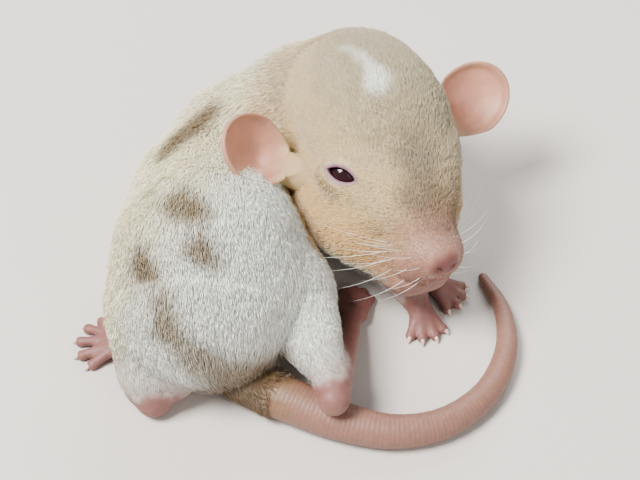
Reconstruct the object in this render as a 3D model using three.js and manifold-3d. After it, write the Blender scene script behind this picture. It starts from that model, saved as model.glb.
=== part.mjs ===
// A life-size model of a young dumbo rat, about two weeks old, lying curled on a floor with its head up.
// Millimetres, +Z up, floor at z = 0. The animal's right side is the inside of the curl (towards +X),
// its rump is at -Y, its shoulders are at +Y, and its head comes round so that the nose points to -Y.
// The flesh is described by smooth fields of tapered limbs and ellipsoids. A net of quads skins each
// field, and the whole is parted into named pieces along thin curved cuts.
import * as THREE from "three";
import { mergeVertices } from "three/addons/utils/BufferGeometryUtils.js";
import Module from "manifold-3d";

const wasm = await Module();
wasm.setup();

const v = (x, y, z) => new THREE.Vector3(x, y, z);
const rad = THREE.MathUtils.degToRad;
const SIDES = { right: 1, left: -1 };

// Driving sizes: the fineness of each skin, and the gap between neighbours
const GAP = 0.32;
const THIN_GAP = 0.5;
const TRUNK_STEP = 2.5;
const HEAD_STEP = 1.74;
const LEG_STEP = 1.9;
const FOOT_STEP = 1.35;

// The middle of the whole animal as seen from above, which becomes the origin
const MIDDLE = v(-3.18, -6.79, 0);

// Where the head is held: the point between the eyes, and the turns that aim it
const EYE_MIDPOINT = v(9.5, -4.0, 20.0);
const HEAD_YAW = 206.6;
const HEAD_PITCH = -7.5;
const HEAD_ROLL = -10.7;

// Eye and ear sizes
const EYEBALL_RADIUS = 2.3;
const EYE_SURFACE = [7.7, -0.1, -0.6];
const EYE_NORMAL = [0.61, 0.42, 0.67];
const EYE_RISE = 0.4;
const EYE_LEAN = 32;
const EYE_SLIT = { length: 3.7, height: 1.5 };
const LID_RADIUS = 0.42;
const EAR_ROOT = [10.9, -5.9, -4.8];
const EAR = { length: 10.6, width: 8.6, depth: 2.2, thickness: 0.8 };

// Head frame: x to the animal's right, y towards the nose, z to the crown, origin between the eyes
const headMatrix = new THREE.Matrix4()
  .makeTranslation(EYE_MIDPOINT)
  .multiply(new THREE.Matrix4().makeRotationZ(rad(HEAD_YAW)))
  .multiply(new THREE.Matrix4().makeRotationX(rad(HEAD_PITCH)))
  .multiply(new THREE.Matrix4().makeRotationY(rad(HEAD_ROLL)));
const headInverse = headMatrix.clone().invert();
const onHead = (x, y, z) => v(x, y, z).applyMatrix4(headMatrix);
const alongHead = (x, y, z) => v(x, y, z).transformDirection(headMatrix);

// Fields give the distance to a surface, negative inside. smoothMin rounds the valley between two.
const smoothMin = (a, b, k) => {
  const h = Math.max(k - Math.abs(a - b), 0) / k;
  return Math.min(a, b) - (h * h * k) / 4;
};
const blend = (k, ...fields) => (p) =>
  fields.slice(1).reduce((d, field) => smoothMin(d, field(p), k), fields[0](p));
const swell = (field, distance) => (p) => field(p) - distance;

// A limb is a chain of stations [x, y, z, radius] that tapers evenly from one to the next
function limb(stations) {
  const joints = stations.map(([x, y, z, r]) => ({ at: v(x, y, z), r }));
  return (p) => {
    let nearest = Infinity;
    for (let i = 0; i + 1 < joints.length; i++) {
      const [a, b] = [joints[i], joints[i + 1]];
      const ab = b.at.clone().sub(a.at);
      const t = THREE.MathUtils.clamp(p.clone().sub(a.at).dot(ab) / ab.lengthSq(), 0, 1);
      const d = p.distanceTo(a.at.clone().addScaledVector(ab, t)) - (a.r + (b.r - a.r) * t);
      nearest = Math.min(nearest, d);
    }
    return nearest;
  };
}
const ball = (x, y, z, r) => (p) => Math.hypot(p.x - x, p.y - y, p.z - z) - r;

// An ellipsoid and a limb that are given in the head frame
function headEgg(x, y, z, rx, ry, rz) {
  return (p) => {
    const q = p.clone().applyMatrix4(headInverse).sub(v(x, y, z));
    const k0 = Math.hypot(q.x / rx, q.y / ry, q.z / rz);
    const k1 = Math.hypot(q.x / rx ** 2, q.y / ry ** 2, q.z / rz ** 2);
    return k1 < 1e-9 ? -Math.min(rx, ry, rz) : (k0 * (k0 - 1)) / k1;
  };
}
const headLimb = (stations) => limb(stations.map(([x, y, z, r]) => [...onHead(x, y, z), r]));

function slope(field, p) {
  const e = 0.05;
  const along = (x, y, z) => field(p.clone().add(v(x, y, z))) - field(p.clone().sub(v(x, y, z)));
  return v(along(e, 0, 0), along(0, e, 0), along(0, 0, e)).normalize();
}
function onSurface(field, start) {
  const p = start.clone();
  for (let i = 0; i < 6; i++) p.addScaledVector(slope(field, p), -field(p));
  return p;
}

const manifold = (positions, triangles) =>
  new wasm.Manifold(
    new wasm.Mesh({
      numProp: 3,
      vertProperties: new Float32Array(positions),
      triVerts: new Uint32Array(triangles),
    }),
  );

// Skins a field with a net of quads: one vertex in each crossed cell, one quad on each crossed edge
function skin(field, low, high, step) {
  const n = ["x", "y", "z"].map((axis) => Math.ceil((high[axis] - low[axis]) / step) + 1);
  const index = (i, j, k) => i + n[0] * (j + n[1] * k);
  const corner = (i, j, k) => v(low.x + i * step, low.y + j * step, low.z + k * step);
  const onRim = (...at) => at.some((a, axis) => a === 0 || a === n[axis] - 1);
  const values = new Float64Array(n[0] * n[1] * n[2]);
  for (let k = 0; k < n[2]; k++)
    for (let j = 0; j < n[1]; j++)
      for (let i = 0; i < n[0]; i++)
        values[index(i, j, k)] = onRim(i, j, k) ? step : field(corner(i, j, k));

  const positions = [];
  const vertexInCell = new Map();
  function vertexOf(cell) {
    const key = index(...cell);
    if (vertexInCell.has(key)) return vertexInCell.get(key);
    const sum = v(0, 0, 0);
    let crossings = 0;
    for (let axis = 0; axis < 3; axis++)
      for (let side = 0; side < 4; side++) {
        const a = [...cell];
        a[(axis + 1) % 3] += side & 1;
        a[(axis + 2) % 3] += side >> 1;
        const b = [...a];
        b[axis] += 1;
        const [da, db] = [values[index(...a)], values[index(...b)]];
        if (da < 0 === db < 0) continue;
        sum.add(corner(...a).lerp(corner(...b), da / (da - db)));
        crossings++;
      }
    const p = onSurface(field, sum.divideScalar(crossings)).sub(sum).clampLength(0, step * 0.4).add(sum);
    vertexInCell.set(key, positions.length / 3);
    positions.push(p.x, p.y, p.z);
    return vertexInCell.get(key);
  }

  const at = (vertex) => v(...positions.slice(vertex * 3, vertex * 3 + 3));
  const apart = (a, b) => at(a).distanceToSquared(at(b));
  const triangles = [];
  for (let k = 1; k < n[2] - 1; k++)
    for (let j = 1; j < n[1] - 1; j++)
      for (let i = 1; i < n[0] - 1; i++)
        for (let axis = 0; axis < 3; axis++) {
          const b = [i, j, k];
          b[axis] += 1;
          const inA = values[index(i, j, k)] < 0;
          if (inA === values[index(...b)] < 0) continue;
          const ring = [[0, 0], [-1, 0], [-1, -1], [0, -1]].map(([s, t]) => {
            const cell = [i, j, k];
            cell[(axis + 1) % 3] += s;
            cell[(axis + 2) % 3] += t;
            return vertexOf(cell);
          });
          const [p, q, r, s] = inA ? ring : ring.reverse();
          const split = apart(p, r) < apart(q, s);
          triangles.push(...(split ? [p, q, r, p, r, s] : [q, r, s, q, s, p]));
        }
  return manifold(positions, triangles);
}

// A closed geometry of three.js as a solid
function solid(geometry) {
  const bare = geometry.index ? geometry.toNonIndexed() : geometry.clone();
  bare.deleteAttribute("normal");
  bare.deleteAttribute("uv");
  const merged = mergeVertices(bare, 1e-4);
  return manifold(merged.attributes.position.array, merged.index.array);
}

// A round tube along a list of points, each with its radius, closed at both ends by a domed tip
function taperedTube(stations, sides) {
  const at = stations.map(([x, y, z]) => v(x, y, z));
  const positions = [];
  const triangles = [];
  let across = null;
  at.forEach((p, i) => {
    const forward = at[Math.min(i + 1, at.length - 1)].clone().sub(at[Math.max(i - 1, 0)]).normalize();
    across = (across ?? (Math.abs(forward.z) < 0.9 ? v(0, 0, 1) : v(1, 0, 0))).clone();
    across.addScaledVector(forward, -across.dot(forward)).normalize();
    const up = forward.clone().cross(across);
    for (let s = 0; s < sides; s++) {
      const turn = (2 * Math.PI * s) / sides;
      const q = p.clone().addScaledVector(across, Math.cos(turn) * stations[i][3]);
      q.addScaledVector(up, Math.sin(turn) * stations[i][3]);
      positions.push(q.x, q.y, q.z);
    }
    for (let s = 0; s < sides && i > 0; s++) {
      const [a, b] = [(i - 1) * sides + s, (i - 1) * sides + ((s + 1) % sides)];
      triangles.push(a, b, b + sides, a, b + sides, a + sides);
    }
  });
  const last = (at.length - 1) * sides;
  const ends = [at[0], at.at(-1)].map((p, end) => {
    const inner = end ? at.at(-2) : at[1];
    const tip = p.clone().add(p.clone().sub(inner).setLength(stations.at(-end)[3] * 0.4));
    positions.push(tip.x, tip.y, tip.z);
    return positions.length / 3 - 1;
  });
  for (let s = 0; s < sides; s++) {
    const next = (s + 1) % sides;
    triangles.push(ends[0], next, s, ends[1], last + s, last + next);
  }
  return manifold(positions, triangles);
}

// Points along a smooth curve through the stations, with the radius carried along
function smoothStations(stations, count) {
  const path = new THREE.CatmullRomCurve3(stations.map(([x, y, z]) => v(x, y, z)));
  return Array.from({ length: count + 1 }, (_, i) => {
    const share = i / count;
    const place = share * (stations.length - 1);
    const k = Math.min(Math.floor(place), stations.length - 2);
    const r = THREE.MathUtils.lerp(stations[k][3], stations[k + 1][3], place - k);
    return [...path.getPoint(share), r];
  });
}

// The part of space beyond a plane, as a large block whose near face lies on it
const BLOCK = 150;
function beyond(point, direction, shift = 0) {
  const n = direction.clone().normalize();
  const block = new THREE.BoxGeometry(BLOCK, BLOCK, BLOCK);
  block.applyQuaternion(new THREE.Quaternion().setFromUnitVectors(v(0, 0, 1), n));
  const centre = point.clone().addScaledVector(n, shift + BLOCK / 2);
  return solid(block.translate(centre.x, centre.y, centre.z));
}
const aboveFloor = beyond(v(0, 0, 0), v(0, 0, 1));
const largest = (s) => s.decompose().reduce((a, b) => (a.volume() > b.volume() ? a : b));
const joined = (solids) => solids.reduce((a, b) => a.add(b));

// The box that holds a list of stations with room for their radii
function roomFor(stations, spare) {
  const box = new THREE.Box3();
  stations.forEach(([x, y, z, r]) => {
    box.expandByPoint(v(x - r, y - r, z - r));
    box.expandByPoint(v(x + r, y + r, z + r));
  });
  return box.expandByScalar(spare);
}
function skinAround(field, stations, step, spare = 1.5) {
  const box = roomFor(stations, spare + 2.2 * step);
  return skin(field, box.min, box.max, step);
}

// Trunk: a C-shaped curve from the rump to the shoulders, with the belly on the inside of the curl
const TRUNK = [
  [-13.6, -17.8, 9.8, 9.8],
  [-13.3, -12.0, 11.5, 11.7],
  [-13.7, -1.8, 9.4, 10.1],
  [-9.4, 7.8, 8.8, 9.0],
];
const BELLY = [-8.2, -9.8, 7.4, 7.5];
const NECK = [
  [-9.4, 7.8, 8.8, 8.8],
  [-1.8, 10.6, 13.0, 8.9],
  [4.2, 7.6, 17.2, 7.7],
];
const NECK_CUT = [1.0, 10.0, 15.5, 8.0];
const WAIST = v(-13.5, -7.0, 12);
const WAIST_DIRECTION = v(0.1, 1, 0);
const trunkField = blend(4, limb(TRUNK), ball(...BELLY));
const neckField = limb(NECK);

// Head: cranium, face, muzzle, chin, nose, cheeks, whisker pads and brows
const headField = blend(
  2.4,
  headEgg(0, -7.0, 0.0, 9.3, 11.2, 8.3),
  headEgg(0, 1.5, -2.2, 7.1, 7.2, 6.5),
  headLimb([[0, 3.5, -3.2, 6.0], [0, 10.0, -5.0, 3.3]]),
  headLimb([[0, -2, -7.6, 5.0], [0, 10.6, -9.2, 2.2]]),
  headEgg(0, 12.7, -3.7, 1.9, 1.4, 1.4),
  ...Object.values(SIDES).flatMap((side) => [
    headEgg(side * 5.4, -2.6, -7.8, 5.2, 9.2, 5.6),
    headLimb([[side * 5.4, 1.0, -9.2, 4.0], [side * 2.0, 10.2, -9.8, 2.3]]),
    headEgg(side * 2.1, 9.9, -5.9, 2.3, 3.0, 2.4),
    headEgg(side * 4.4, 0.2, 1.6, 2.0, 3.0, 1.5),
  ]),
);

// Legs: each is a chain of stations from the trunk to the ankle or wrist
const LEGS = {
  hind_leg_right: [[-10.0, -18.0, 10.2, 8.0], [-3.6, -16.0, 8.4, 5.7], [1.0, -26.2, 7.4, 2.7]],
  hind_leg_left: [[-16.8, -19.0, 8.2, 7.0], [-20.2, -17.6, 5.5, 5.3], [-20.4, -24.0, 3.9, 3.9]],
  foreleg_right: [[-0.5, 2.0, 8.5, 5.2], [4.6, -3.6, 3.4, 2.9], [11.6, -11.0, 2.8, 1.8]],
  foreleg_left: [[8.0, 7.4, 8.4, 4.8], [12.0, 1.6, 3.4, 2.9], [13.2, -6.6, 2.6, 1.8]],
};
const LEG_CUTS = {
  hind_leg_right: [-4.3, -17.2, 8.6, 5.3],
  hind_leg_left: [-20.3, -18.8, 6.4, 4.5],
};

// Feet: heel or wrist, knuckles, and the toes that fan out from them
const FEET = {
  hind_foot_right: {
    sole: [[1.6, -29.7, 6.7, 1.9], [1.7, -27.0, 6.4, 2.1], [3.4, -18.6, 3.4, 1.35], [4.0, -13.6, 1.6, 1.25]],
    aim: [0.05, 1, 0],
    fan: 8,
    toe: { length: 5.2, radius: 0.62, count: 5 },
    leg: "hind_leg_right",
  },
  hind_foot_left: {
    sole: [[-19.8, -26.6, 2.1, 2.1], [-20.8, -24.4, 2.7, 2.3], [-23.6, -19.8, 2.0, 1.45], [-24.8, -17.4, 1.5, 1.25]],
    aim: [-1, 0.1, 0],
    fan: 19,
    toe: { length: 5.2, radius: 0.62, count: 5 },
    leg: "hind_leg_left",
  },
  forepaw_right: {
    sole: [[11.4, -10.8, 2.7, 1.7], [12.7, -13.2, 1.5, 1.4]],
    aim: [0.25, -1, 0],
    fan: 20,
    toe: { length: 3.4, radius: 0.56, count: 4 },
    leg: "foreleg_right",
  },
  forepaw_left: {
    sole: [[13.2, -6.4, 2.5, 1.7], [15.0, -8.8, 1.5, 1.4]],
    aim: [0.95, -0.55, 0],
    fan: 20,
    toe: { length: 3.4, radius: 0.56, count: 4 },
    leg: "foreleg_left",
  },
};

// A foot's toes fan about its aim: each arches up from the knuckles and comes down on its pad
function toesOf({ sole, aim, fan, toe }) {
  const knuckles = v(...sole.at(-1));
  const forward = v(...aim).normalize();
  const sideways = forward.clone().cross(v(0, 0, 1));
  return Array.from({ length: toe.count }, (_, i) => {
    const place = i - (toe.count - 1) / 2;
    const heading = forward.clone().applyAxisAngle(v(0, 0, 1), rad(-place * fan));
    const root = knuckles.clone().addScaledVector(sideways, place * toe.radius * 0.95);
    const length = toe.length * (1 - 0.07 * place * place);
    const along = (share, z) => root.clone().addScaledVector(heading, length * share).setZ(z);
    return {
      heading,
      stations: [
        [...root.setZ(sole.at(-1)[2]), toe.radius * 1.15],
        [...along(0.5, toe.radius * 1.9), toe.radius],
        [...along(0.92, toe.radius * 0.95), toe.radius * 0.9],
      ],
    };
  });
}
// A claw is a slim cone that leaves the toe's tip and bends down to the floor
function clawOf({ heading, stations }, extra = 0) {
  const [x, y, z, r] = stations.at(-1);
  const at = (reach, height, radius) => {
    const p = v(x, y, z).addScaledVector(heading, reach);
    return [p.x, p.y, height, radius + extra];
  };
  return taperedTube([at(r * 0.3, z + 0.15, 0.36), at(r * 1.25, z, 0.26), at(r * 1.9, 0.2, 0.1)], 5);
}

const toeTube = ({ stations }, extra = 0) =>
  taperedTube(smoothStations(stations, 3).map(([x, y, z, r]) => [x, y, z, r + extra]), 6);

const group = new THREE.Group();
const MATERIALS = {
  white_fur: { color: 0xe6e2d4, roughness: 0.9 },
  beige_fur: { color: 0xcdbfa6, roughness: 0.9 },
  bare_skin: { color: 0xd9a798, roughness: 0.6 },
  eye: { color: 0x1a0d10, roughness: 0.08 },
};
for (const name of Object.keys(MATERIALS))
  MATERIALS[name] = new THREE.MeshStandardMaterial({ ...MATERIALS[name], metalness: 0, name });

function addNode(name, body, material) {
  const mesh = largest(body).getMesh();
  const xyz = new Float32Array(mesh.numVert * 3);
  for (let i = 0; i < mesh.numVert; i++)
    xyz.set(mesh.vertProperties.subarray(i * mesh.numProp, i * mesh.numProp + 3), i * 3);
  const geometry = new THREE.BufferGeometry();
  geometry.setAttribute("position", new THREE.BufferAttribute(xyz, 3));
  geometry.setIndex(new THREE.BufferAttribute(mesh.triVerts, 1));
  geometry.translate(-MIDDLE.x, -MIDDLE.y, 0);
  geometry.computeVertexNormals();
  const node = new THREE.Mesh(geometry, MATERIALS[material]);
  node.name = name;
  group.add(node);
}

// Head with its sockets, lids, nostrils and mouth
const FACE_BOX = [v(-12, -24, 2), v(28, 24, 34)];
const headSkin = skin(headField, ...FACE_BOX, HEAD_STEP);
const headRoom = skin(swell(headField, GAP), ...FACE_BOX, HEAD_STEP);

// Places a geometry on the head, its z along a direction and its x along the line towards the nose
function placeOnHead(geometry, centre, normal, side, lean = 0) {
  const z = alongHead(side * normal[0], normal[1], normal[2]);
  const forward = alongHead(0, 1, 0);
  const x = forward.addScaledVector(z, -forward.dot(z)).normalize().applyAxisAngle(z, side * lean);
  const frame = new THREE.Matrix4().makeBasis(x, z.clone().cross(x), z).setPosition(centre);
  return geometry.applyMatrix4(frame);
}
const eyeSurface = (side) =>
  onSurface(headField, onHead(side * EYE_SURFACE[0], EYE_SURFACE[1], EYE_SURFACE[2]));
const eyeCentre = (side) =>
  eyeSurface(side).addScaledVector(
    alongHead(side * EYE_NORMAL[0], EYE_NORMAL[1], EYE_NORMAL[2]),
    EYE_RISE - EYEBALL_RADIUS,
  );
const eyeball = (side, radius) => {
  const c = eyeCentre(side);
  return solid(new THREE.SphereGeometry(radius, 16, 11).translate(c.x, c.y, c.z));
};
function lidRing(side) {
  const ring = new THREE.TorusGeometry(1, LID_RADIUS, 7, 18);
  const xyz = ring.attributes.position;
  for (let i = 0; i < xyz.count; i++) {
    const turn = Math.atan2(xyz.getY(i), xyz.getX(i));
    const out = Math.hypot(xyz.getX(i), xyz.getY(i)) - 1;
    xyz.setX(i, Math.cos(turn) * (EYE_SLIT.length / 2 + LID_RADIUS + out));
    xyz.setY(i, Math.sin(turn) * (EYE_SLIT.height / 2 + LID_RADIUS + out));
  }
  ring.translate(0, 0, EYE_RISE * 0.5);
  return solid(placeOnHead(ring, eyeSurface(side), EYE_NORMAL, side, rad(EYE_LEAN)));
}
function slitCutter(side) {
  const outline = new THREE.Shape();
  const [half, rise] = [EYE_SLIT.length / 2, EYE_SLIT.height];
  outline.moveTo(-half, 0);
  outline.quadraticCurveTo(0, rise, half, 0);
  outline.quadraticCurveTo(0, -rise, -half, 0);
  const cut = new THREE.ExtrudeGeometry(outline, { depth: 4, bevelEnabled: false, curveSegments: 8 });
  cut.translate(0, 0, -1.6);
  return solid(placeOnHead(cut, eyeSurface(side), EYE_NORMAL, side, rad(EYE_LEAN)));
}
const nostrilCutter = (side) => {
  const nostril = new THREE.SphereGeometry(1, 8, 6).scale(0.42, 0.62, 0.34);
  return solid(placeOnHead(nostril, onSurface(headField, onHead(side * 0.95, 14.2, -3.9)), [0.4, 1, 0], side));
};
// The mouth runs back on each side from below the nose, and the split of the upper lip rises to it
const LIP_SPLIT = [[0, 14.0, -4.3], [0, 14.0, -5.2], [0, 13.5, -6.2]];
const MOUTH = [[0.3, 13.1, -6.6], [1.5, 12.6, -7.1], [3.2, 10.6, -8.0], [4.6, 7.6, -8.6]];
const mouthLine = [...MOUTH.map(([x, y, z]) => [-x, y, z]).reverse(), ...MOUTH];
function grooveOnHead(points, radius) {
  const stations = points.map(([x, y, z]) => [...onSurface(headField, onHead(x, y, z)), radius]);
  return taperedTube(smoothStations(stations, points.length * 2), 6);
}
let head = headSkin;
for (const side of Object.values(SIDES)) head = head.add(lidRing(side)).subtract(slitCutter(side));
for (const side of Object.values(SIDES))
  head = head.subtract(eyeball(side, EYEBALL_RADIUS + GAP)).subtract(nostrilCutter(side));
head = head.subtract(grooveOnHead(mouthLine, 0.34)).subtract(grooveOnHead(LIP_SPLIT, 0.27));

// Ears: each is a round cup of even thickness on a short stalk, open forwards and up
const EAR_AIM = [0.83, -0.26, 0.5];
const EAR_FACE = [0.3, 0.26, 0.93];
function earCup(side) {
  const axis = alongHead(side * EAR_AIM[0], EAR_AIM[1], EAR_AIM[2]);
  const face = alongHead(side * EAR_FACE[0], EAR_FACE[1], EAR_FACE[2]);
  const normal = face.addScaledVector(axis, -face.dot(axis)).normalize();
  const across = axis.clone().cross(normal);
  const root = onHead(side * EAR_ROOT[0], EAR_ROOT[1], EAR_ROOT[2]);
  const [rings, spokes] = [4, 18];
  const positions = [];
  const triangles = [];
  const place = (ring, spoke, layer) => {
    const r = ring / rings;
    const turn = (2 * Math.PI * spoke) / spokes;
    const along = EAR.length * (0.5 - 0.5 * r * Math.cos(turn));
    const narrow = 0.72 + 0.28 * Math.min(1, (along / EAR.length) * 2.2);
    const wide = (EAR.width / 2) * r * Math.sin(turn) * narrow;
    const cup = EAR.depth * (r * r - 1) * (1 - 0.35 * (along / EAR.length));
    const thin = (EAR.thickness / 2) * (1.25 - 0.45 * r) * (layer ? -1 : 1);
    return root.clone().addScaledVector(axis, along).addScaledVector(across, wide).addScaledVector(normal, cup + thin);
  };
  for (const layer of [0, 1]) {
    const start = positions.length / 3;
    positions.push(...place(0, 0, layer));
    for (let ring = 1; ring <= rings; ring++)
      for (let spoke = 0; spoke < spokes; spoke++) positions.push(...place(ring, spoke, layer));
    for (let spoke = 0; spoke < spokes; spoke++) {
      const next = (spoke + 1) % spokes;
      const at = (ring, s) => start + (ring === 0 ? 0 : 1 + (ring - 1) * spokes + s);
      const faces = [[at(0, 0), at(1, spoke), at(1, next)]];
      for (let ring = 1; ring < rings; ring++) {
        faces.push([at(ring, spoke), at(ring + 1, spoke), at(ring + 1, next)]);
        faces.push([at(ring, spoke), at(ring + 1, next), at(ring, next)]);
      }
      for (const f of faces) triangles.push(...(layer ? f.reverse() : f));
    }
  }
  const layerSize = positions.length / 6;
  for (let spoke = 0; spoke < spokes; spoke++) {
    const [a, b] = [spoke, (spoke + 1) % spokes].map((s) => 1 + (rings - 1) * spokes + s);
    triangles.push(a, layerSize + a, layerSize + b, a, layerSize + b, b);
  }
  let cup = manifold(positions, triangles);
  if (cup.volume() < 0) cup = manifold(positions, triangles.reverse());
  const stalkStart = root.clone().addScaledVector(axis, -2.4);
  const stalkEnd = root.clone().addScaledVector(axis, 2.2).addScaledVector(normal, -EAR.depth * 0.75);
  return cup.add(taperedTube([[...stalkStart, 2.3], [...stalkEnd, 1.5]], 12));
}

// Tail: from the rump, under the right heel, and round the curl towards the paws
const TAIL = [
  [-13.4, -21.4, 6.2, 3.7],
  [-9.6, -24.0, 3.7, 3.1],
  [-3.4, -27.1, 2.7, 2.7],
  [2.4, -29.7, 2.3, 2.35],
  [8.6, -31.0, 2.0, 2.05],
  [14.8, -29.6, 1.8, 1.85],
  [20.0, -25.2, 1.6, 1.65],
  [22.8, -18.8, 1.35, 1.4],
  [22.8, -12.2, 1.0, 1.05],
  [20.8, -6.8, 0.6, 0.65],
];
const TAIL_COUNT = 36;
const TAIL_PARTS = 3;
const tailStations = smoothStations(TAIL, TAIL_COUNT);

// The whole skin of trunk, neck and hind legs, from which the pieces are cut
const legFields = Object.fromEntries(Object.entries(LEGS).map(([name, s]) => [name, limb(s)]));
const bodyField = blend(2.6, trunkField, neckField, legFields.hind_leg_right, legFields.hind_leg_left);
const bodyStations = [...TRUNK, ...NECK, ...LEGS.hind_leg_right, ...LEGS.hind_leg_left];
const body = skinAround(bodyField, bodyStations, TRUNK_STEP, 4).intersect(aboveFloor);

const feet = Object.entries(FEET).map(([name, foot]) => {
  const toes = toesOf(foot);
  const sole = (extra) => skinAround(swell(limb(foot.sole), extra), foot.sole, FOOT_STEP);
  const whole = (extra) =>
    joined([sole(extra), ...toes.flatMap((toe) => [toeTube(toe, extra), clawOf(toe, extra)])]);
  return { name, leg: foot.leg, room: whole(THIN_GAP), body: whole(0).intersect(aboveFloor) };
});
const tailBody = taperedTube(tailStations, 12);
const tailRoom = taperedTube(tailStations.map(([x, y, z, r]) => [x, y, z, r + GAP]), 12);

// A hind leg is the part of the body around its limb; a foreleg is a limb of its own
const limbRoom = (leg) => skinAround(swell(legFields[leg], THIN_GAP), LEGS[leg], LEG_STEP);
let trunk = body.subtract(headRoom).subtract(tailRoom);
for (const [leg, stations] of Object.entries(LEGS)) {
  const cut = LEG_CUTS[leg];
  const region = cut && limb([cut, ...stations.slice(1)]);
  const cutter = (margin) => skinAround(swell(region, margin), [cut, ...stations], LEG_STEP * 1.6);
  const flesh = cut ? body.intersect(cutter(0.9)) : skinAround(legFields[leg], stations, LEG_STEP);
  let piece = flesh.intersect(aboveFloor).subtract(headRoom).subtract(tailRoom);
  piece = piece.subtract(feet.find((foot) => foot.leg === leg).room);
  if (leg === "foreleg_left") piece = piece.subtract(limbRoom("foreleg_right"));
  addNode(leg, piece, "white_fur");
  trunk = trunk.subtract(cut ? cutter(0.9 + GAP) : limbRoom(leg));
}
for (const foot of feet) {
  addNode(foot.name, foot.body.subtract(headRoom).subtract(tailRoom), "bare_skin");
  trunk = trunk.subtract(foot.room);
}

function besideTail(i, shift, onward) {
  const at = v(...tailStations[i]);
  const forward = v(...tailStations[i + 1]).sub(at).multiplyScalar(onward ? 1 : -1);
  return beyond(at, forward, shift);
}
let restOfTail = tailBody.intersect(aboveFloor);
for (let part = 1; part <= TAIL_PARTS; part++) {
  const end = Math.round((part * TAIL_COUNT) / TAIL_PARTS);
  const last = part === TAIL_PARTS;
  addNode(`tail_${part}`, last ? restOfTail : restOfTail.intersect(besideTail(end, 0, false)), "bare_skin");
  if (!last) restOfTail = restOfTail.intersect(besideTail(end, GAP, true));
}

// Neck, chest and hindquarters
const neckRegion = limb([NECK_CUT, ...NECK.slice(2)]);
const neckCutter = (margin) => skinAround(swell(neckRegion, margin), [NECK_CUT, ...NECK], HEAD_STEP * 1.6);
let neck = body.intersect(neckCutter(0.9)).subtract(headRoom);
for (const leg of ["foreleg_right", "foreleg_left"]) neck = neck.subtract(limbRoom(leg));
addNode("neck", neck, "beige_fur");
trunk = trunk.subtract(neckCutter(0.9 + GAP));
addNode("chest", trunk.intersect(beyond(WAIST, WAIST_DIRECTION, GAP / 2)), "white_fur");
const rearward = WAIST_DIRECTION.clone().negate();
addNode("hindquarters", trunk.intersect(beyond(WAIST, rearward, GAP / 2)), "white_fur");

addNode("head", head, "beige_fur");
const bodyRoom = skinAround(swell(bodyField, GAP), bodyStations, TRUNK_STEP, 4);
for (const [name, side] of Object.entries(SIDES)) {
  const ear = earCup(side).subtract(headRoom).subtract(bodyRoom);
  addNode(`ear_${name}`, ear.subtract(limbRoom(`foreleg_${name}`)), "bare_skin");
  addNode(`eye_${name}`, eyeball(side, EYEBALL_RADIUS), "eye");
}

export default group;
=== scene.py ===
import math

import bmesh
import bpy
import numpy as np
from mathutils import Matrix, Vector


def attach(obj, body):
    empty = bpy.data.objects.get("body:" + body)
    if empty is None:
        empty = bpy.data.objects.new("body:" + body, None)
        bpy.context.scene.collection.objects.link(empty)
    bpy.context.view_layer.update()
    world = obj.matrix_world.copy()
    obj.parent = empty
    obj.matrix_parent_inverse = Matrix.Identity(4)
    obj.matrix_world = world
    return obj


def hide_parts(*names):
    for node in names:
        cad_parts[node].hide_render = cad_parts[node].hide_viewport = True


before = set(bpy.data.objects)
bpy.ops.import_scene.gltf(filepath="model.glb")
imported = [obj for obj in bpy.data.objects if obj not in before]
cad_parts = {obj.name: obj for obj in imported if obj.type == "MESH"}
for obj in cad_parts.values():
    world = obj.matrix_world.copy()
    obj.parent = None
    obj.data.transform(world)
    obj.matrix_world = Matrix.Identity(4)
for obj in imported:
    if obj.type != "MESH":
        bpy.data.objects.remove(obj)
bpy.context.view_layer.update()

# Trunk and neck: a C-shaped curve of flesh from the rump to the shoulders and up to the head,
# with the belly on the inside of the curl. The sizes are in millimetres, one row for each
# station of the curve: its place and its radius. A pup's flesh is soft, so its parts melt together.
MIDDLE = np.array([-3.18, -6.79, 0.0])
TRUNK = [
    (-13.6, -17.8, 9.8, 9.8),
    (-13.3, -12.0, 11.5, 11.7),
    (-13.7, -1.8, 9.4, 10.1),
    (-9.4, 7.8, 8.8, 9.0),
]
BELLY = (-8.2, -9.8, 7.4, 7.5)
NECK = [(-9.4, 7.8, 8.8, 8.8), (-1.8, 10.6, 13.0, 8.9), (4.2, 7.6, 17.2, 7.7)]


def smooth_min(a, b, k):
    h = np.maximum(k - np.abs(a - b), 0.0) / k
    return np.minimum(a, b) - h * h * k / 4.0


def limb(points, stations):
    nearest = np.full(len(points), np.inf)
    for (ax, ay, az, ar), (bx, by, bz, br) in zip(stations, stations[1:]):
        a = np.array((ax, ay, az))
        ab = np.array((bx, by, bz)) - a
        from_a = points - a
        t = np.clip(from_a @ ab / (ab @ ab), 0.0, 1.0)
        reach = np.linalg.norm(from_a - t[:, None] * ab, axis=1)
        nearest = np.minimum(nearest, reach - (ar + (br - ar) * t))
    return nearest


def ball(points, x, y, z, r):
    return np.linalg.norm(points - np.array((x, y, z)), axis=1) - r


def trunk_field(points):
    trunk = smooth_min(limb(points, TRUNK), ball(points, *BELLY), 4.0)
    return smooth_min(trunk, limb(points, NECK), 2.6)


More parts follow.
